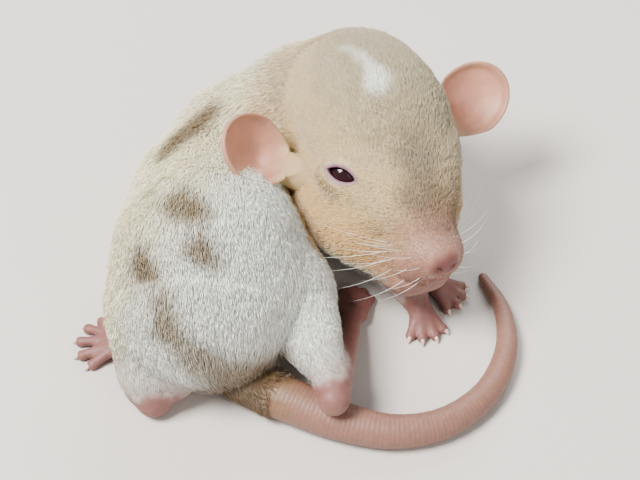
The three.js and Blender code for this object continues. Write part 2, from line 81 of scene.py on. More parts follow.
# Head: a deep round cranium, a short blunt muzzle with a small pad of a nose, full cheeks and
# whisker pads, and low brows. Its frame has x to the animal's right, y to the nose and z to the
# crown, and its origin lies between the eyes.
EYE_MIDPOINT = np.array([9.5, -4.0, 20.0])
HEAD_YAW, HEAD_PITCH, HEAD_ROLL = 206.6, -7.5, -10.7
HEAD_TURN = np.array(
    Matrix.Rotation(math.radians(HEAD_YAW), 3, "Z")
    @ Matrix.Rotation(math.radians(HEAD_PITCH), 3, "X")
    @ Matrix.Rotation(math.radians(HEAD_ROLL), 3, "Y")
)
SIDES = {"right": 1, "left": -1}
CRANIUM = ((0, -7.0, 0.0), (9.3, 11.2, 8.3))
FACE = ((0, 1.5, -2.2), (7.1, 7.2, 6.5))
MUZZLE = [(0, 3.5, -3.2, 6.0), (0, 10.0, -5.0, 3.3)]
CHIN = [(0, -2, -7.6, 5.0), (0, 10.6, -9.2, 2.2)]
NOSE = ((0, 12.7, -3.7), (1.9, 1.4, 1.4))
CHEEK = ((5.4, -2.6, -7.8), (5.2, 9.2, 5.6))
JAW = [(5.4, 1.0, -9.2, 4.0), (2.0, 10.2, -9.8, 2.3)]
WHISKER_PAD = ((2.1, 9.9, -5.9), (2.3, 3.0, 2.4))
BROW = ((4.4, 0.2, 1.6), (2.0, 3.0, 1.5))


def in_head(points):
    return (points - EYE_MIDPOINT) @ HEAD_TURN


def on_head(x, y, z):
    return EYE_MIDPOINT + HEAD_TURN @ np.array((x, y, z), float)


def along_head(x, y, z):
    direction = HEAD_TURN @ np.array((x, y, z), float)
    return direction / np.linalg.norm(direction)


def egg(points, centre, radii):
    q = points - np.array(centre, float)
    radii = np.array(radii, float)
    k0 = np.linalg.norm(q / radii, axis=1)
    k1 = np.linalg.norm(q / radii**2, axis=1)
    return k0 * (k0 - 1.0) / np.maximum(k1, 1e-6)


def head_field(points):
    q = in_head(points)
    mirrored = np.column_stack([np.abs(q[:, 0]), q[:, 1], q[:, 2]])
    d = egg(q, *CRANIUM)
    for part in (
        egg(q, *FACE),
        limb(q, MUZZLE),
        limb(q, CHIN),
        egg(q, *NOSE),
        egg(mirrored, *CHEEK),
        limb(mirrored, JAW),
        egg(mirrored, *WHISKER_PAD),
        egg(mirrored, *BROW),
    ):
        d = smooth_min(d, part, 2.4)
    return d


def slope(field, points, e=0.05):
    axes = np.eye(3) * e
    g = np.column_stack([field(points + a) - field(points - a) for a in axes])
    return g / np.maximum(np.linalg.norm(g, axis=1), 1e-9)[:, None]


def on_surface(field, points, rounds=6):
    p = np.array(points, float).reshape(-1, 3)
    for _ in range(rounds):
        p = p - slope(field, p) * field(p)[:, None]
    return p


# Eyes: dark balls that show only through the slits of lids which opened a day or two ago.
# Each ball sits just under the skin, and the lids lie over it as two thin rims.
EYEBALL_RADIUS = 2.3
EYE_SURFACE = (7.7, -0.1, -0.6)
EYE_NORMAL = (0.61, 0.42, 0.67)
EYE_LEAN = 32
EYE_RISE = 0.4
SLIT_LENGTH, SLIT_HEIGHT = 3.7, 1.5
LID_THICKNESS = 0.42


def slit_axes(side):
    out = along_head(side * EYE_NORMAL[0], EYE_NORMAL[1], EYE_NORMAL[2])
    forward = along_head(0, 1, 0)
    length = forward - out * (forward @ out)
    length = length / np.linalg.norm(length)
    height = np.cross(out, length) * side
    lean = math.radians(EYE_LEAN)
    return (
        length * math.cos(lean) + height * math.sin(lean),
        height * math.cos(lean) - length * math.sin(lean),
        out,
    )


eye_surface = {}
eye_centre = {}
for side_name, side in SIDES.items():
    place = on_surface(head_field, on_head(side * EYE_SURFACE[0], EYE_SURFACE[1], EYE_SURFACE[2]))
    eye_surface[side_name] = place[0]
    eye_centre[side_name] = place[0] + slit_axes(side)[2] * (EYE_RISE - EYEBALL_RADIUS)


def slit_reach(points, side_name):
    """How far outside the almond of the slit each point lies, looking straight at the eye."""
    length, height, out = slit_axes(SIDES[side_name])
    from_eye = points - eye_surface[side_name]
    u, w = from_eye @ length, np.abs(from_eye @ height)
    half, rise = SLIT_LENGTH / 2, SLIT_HEIGHT / 2
    radius = (half * half + rise * rise) / (2 * rise)
    return np.hypot(u, w + radius - rise) - radius, from_eye @ out


def carve_eyes(points, d):
    for side_name, side in SIDES.items():
        eye = ball(points, *eye_centre[side_name], EYEBALL_RADIUS)
        d = smooth_min(d, eye - LID_THICKNESS, 2.6)
        reach, height = slit_reach(points, side_name)
        rim = np.hypot(reach - 0.15, height - EYE_RISE) - 0.3
        near = np.abs(height) < 3.0
        d = np.where(near, smooth_min(d, rim, 0.35), d)
        opening = np.maximum(reach, -height - 1.9)
        d = np.where(near, -smooth_min(-d, opening, 0.25), d)
        d = np.maximum(d, -(eye - 0.04))
    return d


# Mouth and nostrils: the mouth curves back from under the nose on each side, the split of the
# upper lip rises to the nose, and two comma-shaped nostrils open sideways on the nose pad.
LIP_SPLIT = [(0, 14.0, -4.3), (0, 14.0, -5.2), (0, 13.5, -6.2)]
MOUTH = [(0.3, 13.1, -6.6), (1.5, 12.6, -7.1), (3.2, 10.6, -8.0), (4.6, 7.6, -8.6)]
NOSTRIL = (0.95, 14.2, -3.9)
NOSTRIL_SIZE = (0.42, 0.7, 0.34)


def smooth_path(points, count):
    """Points evenly spread along a smooth curve through the given rows, with any radius kept."""
    rows = np.array(points, float)
    padded = np.vstack([2 * rows[0] - rows[1], rows, 2 * rows[-1] - rows[-2]])
    place = np.linspace(0, len(rows) - 1, count + 1)
    k = np.minimum(place.astype(int), len(rows) - 2)
    t = (place - k)[:, None]
    p0, p1, p2, p3 = (padded[k + i] for i in range(4))
    curve = 2 * p1 + (p2 - p0) * t
    curve += (2 * p0 - 5 * p1 + 4 * p2 - p3) * t**2 + (3 * p1 - p0 - 3 * p2 + p3) * t**3
    return curve / 2


def lip_line(points, radius):
    placed = on_surface(head_field, [on_head(*p) for p in points])
    path = smooth_path(placed, 10)
    return [(*p, radius) for p in path]


mouth_right = lip_line(MOUTH, 0.26)
mouth_left = lip_line([(-x, y, z) for x, y, z in MOUTH], 0.26)
lip_split = lip_line(LIP_SPLIT, 0.2)
nostril_at = {
    name: in_head(on_surface(head_field, on_head(side * NOSTRIL[0], *NOSTRIL[1:])))[0]
    for name, side in SIDES.items()
}


def carve_mouth(points, d):
    for groove in (mouth_right, mouth_left, lip_split):
        d = -smooth_min(-d, limb(points, groove), 0.5)
    q = in_head(points)
    for place in nostril_at.values():
        d = -smooth_min(-d, egg(q, place, NOSTRIL_SIZE), 0.3)
    return d


# Legs: the hind legs fold along the flanks, and the forelegs reach forward under the chin.
# Each is a chain of stations from the trunk to the ankle or wrist.
LEGS = {
    "hind_leg_right": [(-10.0, -18.0, 10.2, 8.0), (-3.6, -16.0, 8.4, 5.7), (1.0, -26.2, 7.4, 2.7)],
    "hind_leg_left": [(-16.8, -19.0, 8.2, 7.0), (-20.2, -17.6, 5.5, 5.3), (-20.4, -24.0, 3.9, 3.9)],
    "foreleg_right": [(-0.5, 2.0, 8.5, 5.2), (4.6, -3.6, 3.4, 2.9), (11.6, -11.0, 2.8, 1.8)],
    "foreleg_left": [(8.0, 7.4, 8.4, 4.8), (12.0, 1.6, 3.4, 2.9), (13.2, -6.6, 2.6, 1.8)],
}


# Feet: a long narrow sole with five toes behind, and a small hand of four toes in front. The
# toes fan about the foot's aim, and each arches up from the knuckles and comes down on its pad.
FEET = {
    "hind_foot_right": {
        "sole": [
            (1.6, -29.7, 6.7, 1.9), (1.7, -27.0, 6.4, 2.1), (3.4, -18.6, 3.4, 1.35), (4.0, -13.6, 1.6, 1.25)
        ],
        "aim": (0.05, 1.0), "fan": 8, "toes": 5, "length": 5.2, "radius": 0.62,
    },
    "hind_foot_left": {
        "sole": [
            (-19.8, -26.6, 2.1, 2.1), (-20.8, -24.4, 2.7, 2.3),
            (-23.6, -19.8, 2.0, 1.45), (-24.8, -17.4, 1.5, 1.25),
        ],
        "aim": (-1.0, 0.1), "fan": 19, "toes": 5, "length": 5.2, "radius": 0.62,
    },
    "forepaw_right": {
        "sole": [(11.4, -10.8, 2.7, 1.7), (12.7, -13.2, 1.5, 1.4)],
        "aim": (0.25, -1.0), "fan": 20, "toes": 4, "length": 3.4, "radius": 0.56,
    },
    "forepaw_left": {
        "sole": [(13.2, -6.4, 2.5, 1.7), (15.0, -8.8, 1.5, 1.4)],
        "aim": (0.95, -0.55), "fan": 20, "toes": 4, "length": 3.4, "radius": 0.56,
    },
}


def toes_of(foot):
    knuckles = np.array(foot["sole"][-1][:3])
    aim = np.array((*foot["aim"], 0.0))
    aim = aim / np.linalg.norm(aim)
    sideways = np.cross(aim, (0.0, 0.0, 1.0))
    radius = foot["radius"]
    made = []
    for i in range(foot["toes"]):
        place = i - (foot["toes"] - 1) / 2
        turn = math.radians(-place * foot["fan"])
        heading = aim * math.cos(turn) + np.cross((0.0, 0.0, 1.0), aim) * math.sin(turn)
        root = knuckles + sideways * place * radius * 0.95
        length = foot["length"] * (1 - 0.07 * place * place)
        middle = root + heading * length * 0.5
        tip = root + heading * length * 0.92
        stations = [
            (root[0], root[1], knuckles[2], radius * 1.15),
            (middle[0], middle[1], radius * 1.9, radius),
            (tip[0], tip[1], radius * 0.95, radius * 0.9),
        ]
        made.append((heading, stations))
    return made


toes = {name: toes_of(foot) for name, foot in FEET.items()}


def foot_field(points):
    d = np.full(len(points), 1e3)
    for name, foot in FEET.items():
        sole = np.array(foot["sole"])[:, :3]
        near = ((points > sole.min(axis=0) - 8) & (points < sole.max(axis=0) + 8)).all(axis=1)
        if not near.any():
            continue
        p = points[near]
        one = limb(p, foot["sole"])
        for _, stations in toes[name]:
            one = smooth_min(one, limb(p, stations), 0.7)
            x, y, z, r = stations[-1]
            one = smooth_min(one, ball(p, x, y, z, r * 1.08), 0.4)
        d[near] = np.minimum(d[near], one)
    return d


# Tail: thick and furred where it leaves the rump, then bare and finely ringed. It runs under the
# right heel and is laid on the floor round the inside of the curl.
TAIL = [
    (-13.4, -21.4, 6.2, 3.7),
    (-9.6, -24.0, 3.7, 3.1),
    (-3.4, -27.1, 2.7, 2.7),
    (2.4, -29.7, 2.3, 2.35),
    (8.6, -31.0, 2.0, 2.05),
    (14.8, -29.6, 1.8, 1.85),
    (20.0, -25.2, 1.6, 1.65),
    (22.8, -18.8, 1.35, 1.4),
    (22.8, -12.2, 1.0, 1.05),
    (20.8, -6.8, 0.6, 0.65),
]
tail_path = [tuple(p) for p in smooth_path(TAIL, 30)]


def tail_field(points):
    d = np.full(len(points), 1e3)
    near = (points[:, 2] < 12) & ((points[:, 1] < -15) | (points[:, 0] > 15))
    d[near] = limb(points[near], tail_path)
    return d


# Skin: one surface over trunk, neck, head, legs, feet and tail. It lies under the coat by the
# coat's depth, which is greatest on the trunk and fades to nothing on the muzzle, feet and tail.
SKIN_STEP = 0.34
COAT_DEPTH = 0.45
HEAD_COAT_DEPTH = 0.28


def fade(value, start, end):
    t = np.clip((value - start) / (end - start), 0.0, 1.0)
    return t * t * (3 - 2 * t)


def measure(points):
    """The distance to each part of the flesh."""
    d = {"trunk": trunk_field(points), "neck": limb(points, NECK), "head": head_field(points)}
    for name, stations in LEGS.items():
        d[name] = limb(points, stations)
    d["fore"] = np.minimum(d["foreleg_right"], d["foreleg_left"])
    d["leg"] = np.minimum(np.minimum(d["hind_leg_right"], d["hind_leg_left"]), d["fore"])
    d["foot"] = foot_field(points)
    d["tail"] = tail_field(points)
    return d


def furred(points, d):
    """1 in full coat, 0 on the bare feet and tail; and the same for the face, bare at the nose."""
    feet = fade(d["foot"] - d["leg"], 0.2, 1.2)
    off_tail = fade(d["tail"] - np.minimum(d["trunk"], d["leg"]), -0.4, 1.2)
    from_root = np.linalg.norm(points - np.array(TAIL[1][:3]), axis=1)
    nose = np.linalg.norm(points - on_head(0, 13.6, -4.4), axis=1)
    return feet * np.maximum(off_tail, 0.8 * fade(-from_root, -9.0, -2.0)), fade(nose, 1.8, 9.0)


def skin_field(points):
    d = measure(points)
    flesh = smooth_min(d["trunk"], d["hind_leg_right"], 3.5)
    flesh = smooth_min(flesh, d["hind_leg_left"], 6.5)
    flesh = smooth_min(flesh, d["fore"], 1.6)
    flesh = smooth_min(flesh, d["head"], 1.0 + 7.0 * (1 - fade(d["neck"], 0.5, 5.0)))
    flesh = smooth_min(flesh, d["foot"], 0.8)
    flesh = smooth_min(flesh, d["tail"], 0.5)
    body, face = furred(points, d)
    on_trunk = fade(d["head"] - d["trunk"], -2.0, 2.0)
    depth = HEAD_COAT_DEPTH + (COAT_DEPTH - HEAD_COAT_DEPTH) * on_trunk
    flesh = flesh + depth * body * (0.15 + 0.85 * face)
    near_face = np.linalg.norm(points - on_head(0, 4, -3), axis=1) < 17
    if near_face.any():
        p = points[near_face]
        flesh[near_face] = carve_mouth(p, carve_eyes(p, flesh[near_face]))
    return np.maximum(flesh, 0.02 - points[:, 2])


def net(field, corner, far, step, block=8):
    """Skins a field with a net of quads, in only the blocks of space that its surface crosses."""
    corner = np.array(corner, float)
    count = np.ceil((np.array(far) - corner) / step / block).astype(int) * block + 1
    values = np.ones(count)
    starts = np.stack(
        np.meshgrid(*[np.arange(0, c - 1, block) for c in count], indexing="ij"), -1
    ).reshape(-1, 3)
    at_middle = field(corner + (starts + block / 2) * step)
    reach = block * step * 0.87 + 1.0
    for i, j, k in starts[at_middle < -reach]:
        values[i : i + block + 1, j : j + block + 1, k : k + block + 1] = -1.0
    offsets = np.stack(np.meshgrid(*[np.arange(block + 1)] * 3, indexing="ij"), -1).reshape(-1, 3)
    active = starts[np.abs(at_middle) <= reach]
    for group in np.array_split(active, max(1, len(active) // 200)):
        index = (group[:, None, :] + offsets[None]).reshape(-1, 3)
        values[index[:, 0], index[:, 1], index[:, 2]] = field(corner + index * step)
    inside = values < 0
    total = np.zeros(np.array(count) - 1, int)
    for i in (0, 1):
        for j in (0, 1):
            for k in (0, 1):
                total += inside[i : count[0] - 1 + i, j : count[1] - 1 + j, k : count[2] - 1 + k]
    mixed = (total > 0) & (total < 8)
    number = np.full(mixed.shape, -1)
    where = np.argwhere(mixed)
    number[mixed] = np.arange(len(where))
    sums = np.zeros((len(where), 3))
    crossings = np.zeros(len(where))
    for axis in range(3):
        for s in (0, 1):
            for t in (0, 1):
                a = where.copy()
                a[:, (axis + 1) % 3] += s
                a[:, (axis + 2) % 3] += t
                b = a.copy()
                b[:, axis] += 1
                da, db = values[tuple(a.T)], values[tuple(b.T)]
                crossed = (da < 0) != (db < 0)
                share = da / np.where(crossed, da - db, 1.0)
                sums += np.where(crossed[:, None], a + (b - a) * share[:, None], 0.0)
                crossings += crossed
    vertices = corner + sums / crossings[:, None] * step
    quads = []
    for axis in range(3):
        behind = [slice(1, c - 1) for c in count]
        ahead = list(behind)
        ahead[axis] = slice(2, count[axis])
        a, b = inside[tuple(behind)], inside[tuple(ahead)]
        for flag, order in ((a & ~b, 1), (~a & b, -1)):
            edge = np.argwhere(flag) + 1
            ring = []
            for s, t in [(0, 0), (-1, 0), (-1, -1), (0, -1)][::order]:
                cell = edge.copy()
                cell[:, (axis + 1) % 3] += s
                cell[:, (axis + 2) % 3] += t
                ring.append(number[tuple(cell.T)])
            quads.append(np.column_stack(ring))
    return vertices, np.vstack(quads)


def move_onto(field, points, rounds, limit):
    start = points.copy()
    for _ in range(rounds):
        points = points - slope(field, points) * np.clip(field(points), -limit, limit)[:, None]
    return np.clip(points, start - limit, start + limit)


def on_object(points):
    return (np.asarray(points) - MIDDLE) / 1000.0


def mesh_object(name, points, faces):
    """A smooth mesh from points in millimetres and faces that all have one count of corners."""
    made = bpy.data.meshes.new(name)
    points = on_object(points)
    faces = np.asarray(faces)
    made.vertices.add(len(points))
    made.vertices.foreach_set("co", points.astype(np.float32).ravel())
    made.loops.add(faces.size)
    made.loops.foreach_set("vertex_index", faces.astype(np.int32).ravel())
    made.polygons.add(len(faces))
    starts = np.arange(0, faces.size, faces.shape[1], dtype=np.int32)
    made.polygons.foreach_set("loop_start", starts)
    made.update(calc_edges=True)
    made.polygons.foreach_set("use_smooth", np.ones(len(faces), bool))
    obj = bpy.data.objects.new(name, made)
    bpy.context.scene.collection.objects.link(obj)
    return obj


def paint(obj, name, values):
    """Keeps one colour or number for each vertex as an attribute that the materials read."""
    values = np.asarray(values, np.float32)
    if values.ndim == 1:
        obj.data.attributes.new(name, "FLOAT", "POINT").data.foreach_set("value", values)
        return
    rgba = np.column_stack([values, np.ones(len(values), np.float32)])
    obj.data.attributes.new(name, "FLOAT_COLOR", "POINT").data.foreach_set("color", rgba.ravel())


skin_points, skin_quads = net(skin_field, (-33, -36, -1.4), (28, 22, 32), SKIN_STEP)
skin_points = move_onto(skin_field, skin_points, 2, SKIN_STEP * 0.5)
skin = mesh_object("skin", skin_points, skin_quads)
skin_normals = np.zeros(len(skin_points) * 3, np.float32)
skin.data.vertices.foreach_get("normal", skin_normals)
skin_normals = skin_normals.reshape(-1, 3)

# Markings: a cream-white body with taupe spots and a stripe down the spine, a beige hood on the
# head and neck, greyer on the crown, warmer on the cheek, pink where the coat thins on the
# muzzle, and a white blaze. Some of the colour is painted light: a cooler white on the flank
# is partly painted cool shade, the golden fur at the rump and tail base and the pink of the feet
# are darkened with painted shade, and the far side of the head carries painted shade. Each spot
# is a short line with a radius, in millimetres.
CREAM, WHITE_WITH_COOL_SHADE, TAUPE = (0.83, 0.77, 0.54), (0.81, 0.84, 0.77), (0.25, 0.185, 0.10)
RUMP_GOLD_AND_SHADOW, TAIL_GOLD_AND_SHADOW = (0.204, 0.11, 0.0375), (0.17, 0.10, 0.0375)
HOOD, CROWN_GREY, CHEEK_GOLD = (0.57, 0.43, 0.225), (0.37, 0.31, 0.18), (0.60, 0.36, 0.13)
BLAZE_WHITE, SNOUT_GREY = (0.78, 0.80, 0.70), (0.21, 0.16, 0.09)
MUZZLE_PINK, NOSE_PINK, LID_LILAC = (0.31, 0.145, 0.11), (0.15, 0.04, 0.038), (0.24, 0.13, 0.18)
FOOT_PINK_AND_SHADE, TAIL_PINK = (0.21, 0.085, 0.072), (0.23, 0.11, 0.078)
FAR_SIDE_SHADE = (0.30, 0.265, 0.165)
SPOTS = {
    "shoulder": ([(-18.8, -1.1, 18.3, 1.2), (-15.8, 3.3, 18.1, 2.2), (-13.1, 6.8, 18.1, 1.3)], 1.0),
    "faint": ([(-19.6, -10.4, 21.4, 0.6), (-18.9, -7.6, 21.4, 0.6)], 0.35),
    "back": ([(-16.2, -12.6, 22.9, 2.0), (-14.5, -13.9, 22.9, 1.8)], 0.95),
    "flank": ([(-13.5, -18.2, 21.3, 1.5), (-12.8, -19.1, 21.0, 1.3)], 1.0),
    "rump": ([(-20.7, -18.0, 18.7, 1.7), (-20.3, -19.3, 18.2, 1.8)], 1.0),
    "hip": ([(-17.8, -22.8, 17.0, 1.2), (-17.3, -24.2, 16.0, 1.4)], 0.85),
    "spine": ([(-17.9, -25.1, 14.9, 1.3), (-16.1, -26.1, 14.2, 1.6), (-13.7, -27.3, 12.2, 1.9),
               (-10.4, -27.2, 8.7, 2.2), (-7.3, -26.7, 5.7, 2.0)], 0.8),
}
BLAZE = [(2.6, -12.8, 7.2, 0.4), (1.9, -8.2, 8.2, 0.7), (2.0, -5.9, 8.4, 1.7)]
SNOUT_PATCH = [(0.8, 3.2, 4.0, 1.3), (1.1, 7.5, 1.9, 1.7)]


def mix(colours, other, amount):
    return colours + (np.array(other) - colours) * np.clip(amount, 0.0, 1.0)[:, None]


def ripple(points, scale, seed):
    """A smooth seeded unevenness between -1 and 1, for the edges of markings."""
    rng = np.random.default_rng(seed)
    total = np.zeros(len(points))
    for _ in range(6):
        turn = rng.normal(size=3)
        total += np.sin(points @ (turn / np.linalg.norm(turn)) * scale + rng.uniform(0, 6.28))
    return total / 3.0


def markings(points, d):
    q = in_head(points)
    uneven = ripple(points, 1.9, 3) * 0.55 + ripple(points, 4.6, 4) * 0.4
    colour = np.tile(np.array(CREAM), (len(points), 1))
    # A cooler white towards the flank: partly the white fur, partly painted cool shade.
    colour = mix(colour, WHITE_WITH_COOL_SHADE, fade(0.6 * points[:, 0] - 0.5 * points[:, 1] + uneven, -8.0, 2.0))
    # Golden fur at the rump and tail base, darkened with painted shadow in the pocket by the floor.
    gold_and_shadow = fade(-np.linalg.norm(points - np.array((-9.0, -25.6, 5.0)), axis=1), -8.5, -3.0)
    colour = mix(colour, RUMP_GOLD_AND_SHADOW, gold_and_shadow * 0.95)
    for line, strength in SPOTS.values():
        reach = limb(points, line)
        colour = mix(colour, TAUPE, strength * fade(-(reach + 0.6 * uneven), -1.5, 1.2))
    on_head_skin = 1 - fade(d["head"], 1.0, 2.2)
    on_neck = (1 - fade(d["head"] + uneven, 2.0, 7.5)) * (1 - fade(d["neck"], 0.8, 2.6))
    hood = np.maximum(on_head_skin, on_neck * 0.85)
    head = np.tile(np.array(HOOD), (len(points), 1))
    head = mix(head, CHEEK_GOLD, 0.75 * fade(-q[:, 2] + uneven, 1.0, 6.5))
    head = mix(head, CROWN_GREY, 0.8 * fade(q[:, 2] + uneven * 1.2, 1.5, 6.5) * fade(-q[:, 1], -9, 0))
    # Painted shade on the far, left side of the upper head, where the light falls away.
    head = mix(head, FAR_SIDE_SHADE, 0.5 * fade(-q[:, 0] + uneven, -1.5, 6.0) * fade(q[:, 2], -3.0, 2.0))
    head = mix(head, CREAM, 0.8 * fade(-q[:, 2] + uneven * 0.5, 8.6, 11.0))
    head = mix(head, SNOUT_GREY, 0.8 * fade(-(limb(q, SNOUT_PATCH) + uneven), -2.6, 0.6))
    head = mix(head, BLAZE_WHITE, fade(-(limb(q, BLAZE) + uneven * 0.4), -1.0, 0.6))
    nose = np.linalg.norm(q - np.array((0, 13.6, -4.4)), axis=1)
    head = mix(head, MUZZLE_PINK, 0.85 * fade(-nose, -8.5, -3.0))
    head = mix(head, MUZZLE_PINK, 0.35 * fade(-nose + uneven, -12.0, -6.0))
    colour = colour + (head - colour) * hood[:, None]
    colour = mix(colour, NOSE_PINK, fade(-egg(q, (0, 13.2, -3.9), (1.9, 1.7, 1.6)), -0.6, 0.3))
    for side_name in SIDES:
        reach, height = slit_reach(points, side_name)
        rim = fade(-reach, -0.85, -0.1) * (np.abs(height) < 3)
        colour = mix(colour, LID_LILAC, rim * (d["head"] < 2))
    # Bare pink feet, darkened with painted shade.
    above_foot = d["foot"] - d["leg"] + uneven * 0.5
    bare = 0.75 * (1 - fade(above_foot, 0.0, 4.5)) + 0.25 * (1 - fade(above_foot, -0.2, 1.0))
    colour = mix(colour, FOOT_PINK_AND_SHADE, bare)
    off_root = np.linalg.norm(points - np.array(TAIL[1][:3]), axis=1)
    bare_tail = 1 - fade(d["tail"] - np.minimum(d["trunk"], d["leg"]), -0.3, 0.6)
    # The furred tail base is golden fur darkened with painted shadow; it turns to bare pink along the tail.
    tail_colour = np.tile(np.array(TAIL_GOLD_AND_SHADOW), (len(points), 1))
    tail_colour = mix(tail_colour, TAIL_PINK, fade(off_root, 3.0, 11.0))
    return colour + (tail_colour - colour) * bare_tail[:, None]


skin_parts = measure(skin_points)
skin_colours = markings(skin_points, skin_parts)


def tail_rings(points, d):
    """How far along the tail each of its points lies, in millimetres, and 0 off the tail."""
    path = np.array(tail_path)[:, :3]
    along = np.concatenate([[0], np.cumsum(np.linalg.norm(np.diff(path, axis=0), axis=1))])
    found = np.zeros(len(points))
    on_tail = (d["tail"] < 0.3) & (d["tail"] < d["trunk"] - 0.5) & (d["tail"] < d["foot"])
    p = points[on_tail]
    best = np.full(len(p), np.inf)
    value = np.zeros(len(p))
    for a, b, start in zip(path, path[1:], along):
        t = np.clip((p - a) @ (b - a) / ((b - a) @ (b - a)), 0, 1)
        gap = np.linalg.norm(p - a - t[:, None] * (b - a), axis=1)
        nearer = gap < best
        best[nearer] = gap[nearer]
        value[nearer] = start + t[nearer] * np.linalg.norm(b - a)
    found[on_tail] = value
    return found


paint(skin, "colour", skin_colours)
paint(skin, "tail_length", tail_rings(skin_points, skin_parts))


def variation_group():
    """Fine unevenness that every living surface shares: a mottled colour and a height for bumps."""
    group = bpy.data.node_groups.new("Fine variation", "ShaderNodeTree")
    group.interface.new_socket("Color", in_out="INPUT", socket_type="NodeSocketColor")
    for name, value in (("Scale", 900.0), ("Amount", 0.15)):
        made = group.interface.new_socket(name, in_out="INPUT", socket_type="NodeSocketFloat")
        made.default_value = value
    group.interface.new_socket("Color", in_out="OUTPUT", socket_type="NodeSocketColor")
    group.interface.new_socket("Height", in_out="OUTPUT", socket_type="NodeSocketFloat")
    nodes, links = group.nodes, group.links
    start, end = nodes.new("NodeGroupInput"), nodes.new("NodeGroupOutput")
    place = nodes.new("ShaderNodeTexCoord")
    noise = nodes.new("ShaderNodeTexNoise")
    noise.inputs["Detail"].default_value = 4.0
    links.new(place.outputs["Object"], noise.inputs["Vector"])
    links.new(start.outputs["Scale"], noise.inputs["Scale"])
    spread = nodes.new("ShaderNodeMapRange")
    spread.inputs["From Min"].default_value = 0.3
    spread.inputs["From Max"].default_value = 0.7
    spread.inputs["To Max"].default_value = 1.0
    links.new(noise.outputs["Fac"], spread.inputs["Value"])
    keep = nodes.new("ShaderNodeMath")
    keep.operation = "SUBTRACT"
    keep.inputs[0].default_value = 1.0
    links.new(start.outputs["Amount"], keep.inputs[1])
    links.new(keep.outputs["Value"], spread.inputs["To Min"])
    shade = nodes.new("ShaderNodeVectorMath")
    shade.operation = "SCALE"
    links.new(start.outputs["Color"], shade.inputs[0])
    links.new(spread.outputs["Result"], shade.inputs["Scale"])
    links.new(shade.outputs["Vector"], end.inputs["Color"])
    links.new(noise.outputs["Fac"], end.inputs["Height"])
    return group


variation = variation_group()


def living_material(name, colour, scale, amount, roughness, bump=0.0, distance=0.0002, **settings):
    """A principled material in the mesh's own colours or in one, unevenly shaded."""
    material = bpy.data.materials.new(name)
    material.use_nodes = True
    nodes, links = material.node_tree.nodes, material.node_tree.links
    shader = nodes["Principled BSDF"]
    shader.inputs["Roughness"].default_value = roughness
    for socket, value in settings.items():
        shader.inputs[socket.replace("_", " ")].default_value = value
    vary = nodes.new("ShaderNodeGroup")
    vary.node_tree = variation
    vary.name = "Variation"
    vary.inputs["Scale"].default_value = scale
    vary.inputs["Amount"].default_value = amount
    if colour is None:
        source = nodes.new("ShaderNodeAttribute")
        source.attribute_name = "colour"
        links.new(source.outputs["Color"], vary.inputs["Color"])
    else:
        vary.inputs["Color"].default_value = (*colour, 1.0)
    links.new(vary.outputs["Color"], shader.inputs["Base Color"])
    if bump:
        relief = nodes.new("ShaderNodeBump")
        relief.inputs["Strength"].default_value = bump
        relief.inputs["Distance"].default_value = distance
        links.new(vary.outputs["Height"], relief.inputs["Height"])
        links.new(relief.outputs["Normal"], shader.inputs["Normal"])
    return material


skin_material = living_material(
    "skin", None, 1400.0, 0.16, 0.55, bump=0.35, Subsurface_Weight=0.2, Subsurface_Scale=0.001
)
skin_nodes, skin_links = skin_material.node_tree.nodes, skin_material.node_tree.links
length_node = skin_nodes.new("ShaderNodeAttribute")
length_node.attribute_name = "tail_length"
RING_SPACING = 0.55
RING_HEIGHT = 0.16
wave = skin_nodes.new("ShaderNodeMath")
wave.operation = "MULTIPLY"
wave.inputs[1].default_value = 2 * math.pi / RING_SPACING
skin_links.new(length_node.outputs["Fac"], wave.inputs[0])
ring = skin_nodes.new("ShaderNodeMath")
ring.operation = "SINE"
skin_links.new(wave.outputs["Value"], ring.inputs[0])
both_heights = skin_nodes.new("ShaderNodeMath")
both_heights.operation = "MULTIPLY_ADD"
both_heights.inputs[1].default_value = RING_HEIGHT
skin_links.new(ring.outputs["Value"], both_heights.inputs[0])
skin_links.new(skin_nodes["Variation"].outputs["Height"], both_heights.inputs[2])
skin_links.new(both_heights.outputs["Value"], skin_nodes["Bump"].inputs["Height"])
skin.data.materials.append(skin_material)
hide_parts("head", "neck", "chest", "hindquarters", "hind_leg_right", "hind_leg_left")
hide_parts("foreleg_right", "foreleg_left", "hind_foot_right", "hind_foot_left")
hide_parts("forepaw_right", "forepaw_left", "tail_1", "tail_2", "tail_3")
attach(skin, "root")

# Eyeballs: almost black with a faint red-brown cast, and wet
EYE_COLOUR = (0.022, 0.006, 0.008)
eye_material = living_material("eye", EYE_COLOUR, 600.0, 0.3, 0.08, Specular_IOR_Level=0.35)

for side_name in SIDES:
    built = bmesh.new()
    bmesh.ops.create_uvsphere(built, u_segments=48, v_segments=32, radius=EYEBALL_RADIUS / 1000.0)
    bmesh.ops.translate(built, verts=built.verts, vec=Vector(on_object(eye_centre[side_name])))
    eye_mesh = bpy.data.meshes.new(f"eyeball_{side_name}")
    built.to_mesh(eye_mesh)
    built.free()
    eye_mesh.polygons.foreach_set("use_smooth", np.ones(len(eye_mesh.polygons), bool))
    eye_mesh.materials.append(eye_material)
    eyeball = bpy.data.objects.new(f"eyeball_{side_name}", eye_mesh)
    bpy.context.scene.collection.objects.link(eyeball)
    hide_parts(f"eye_{side_name}")
    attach(eyeball, "root")

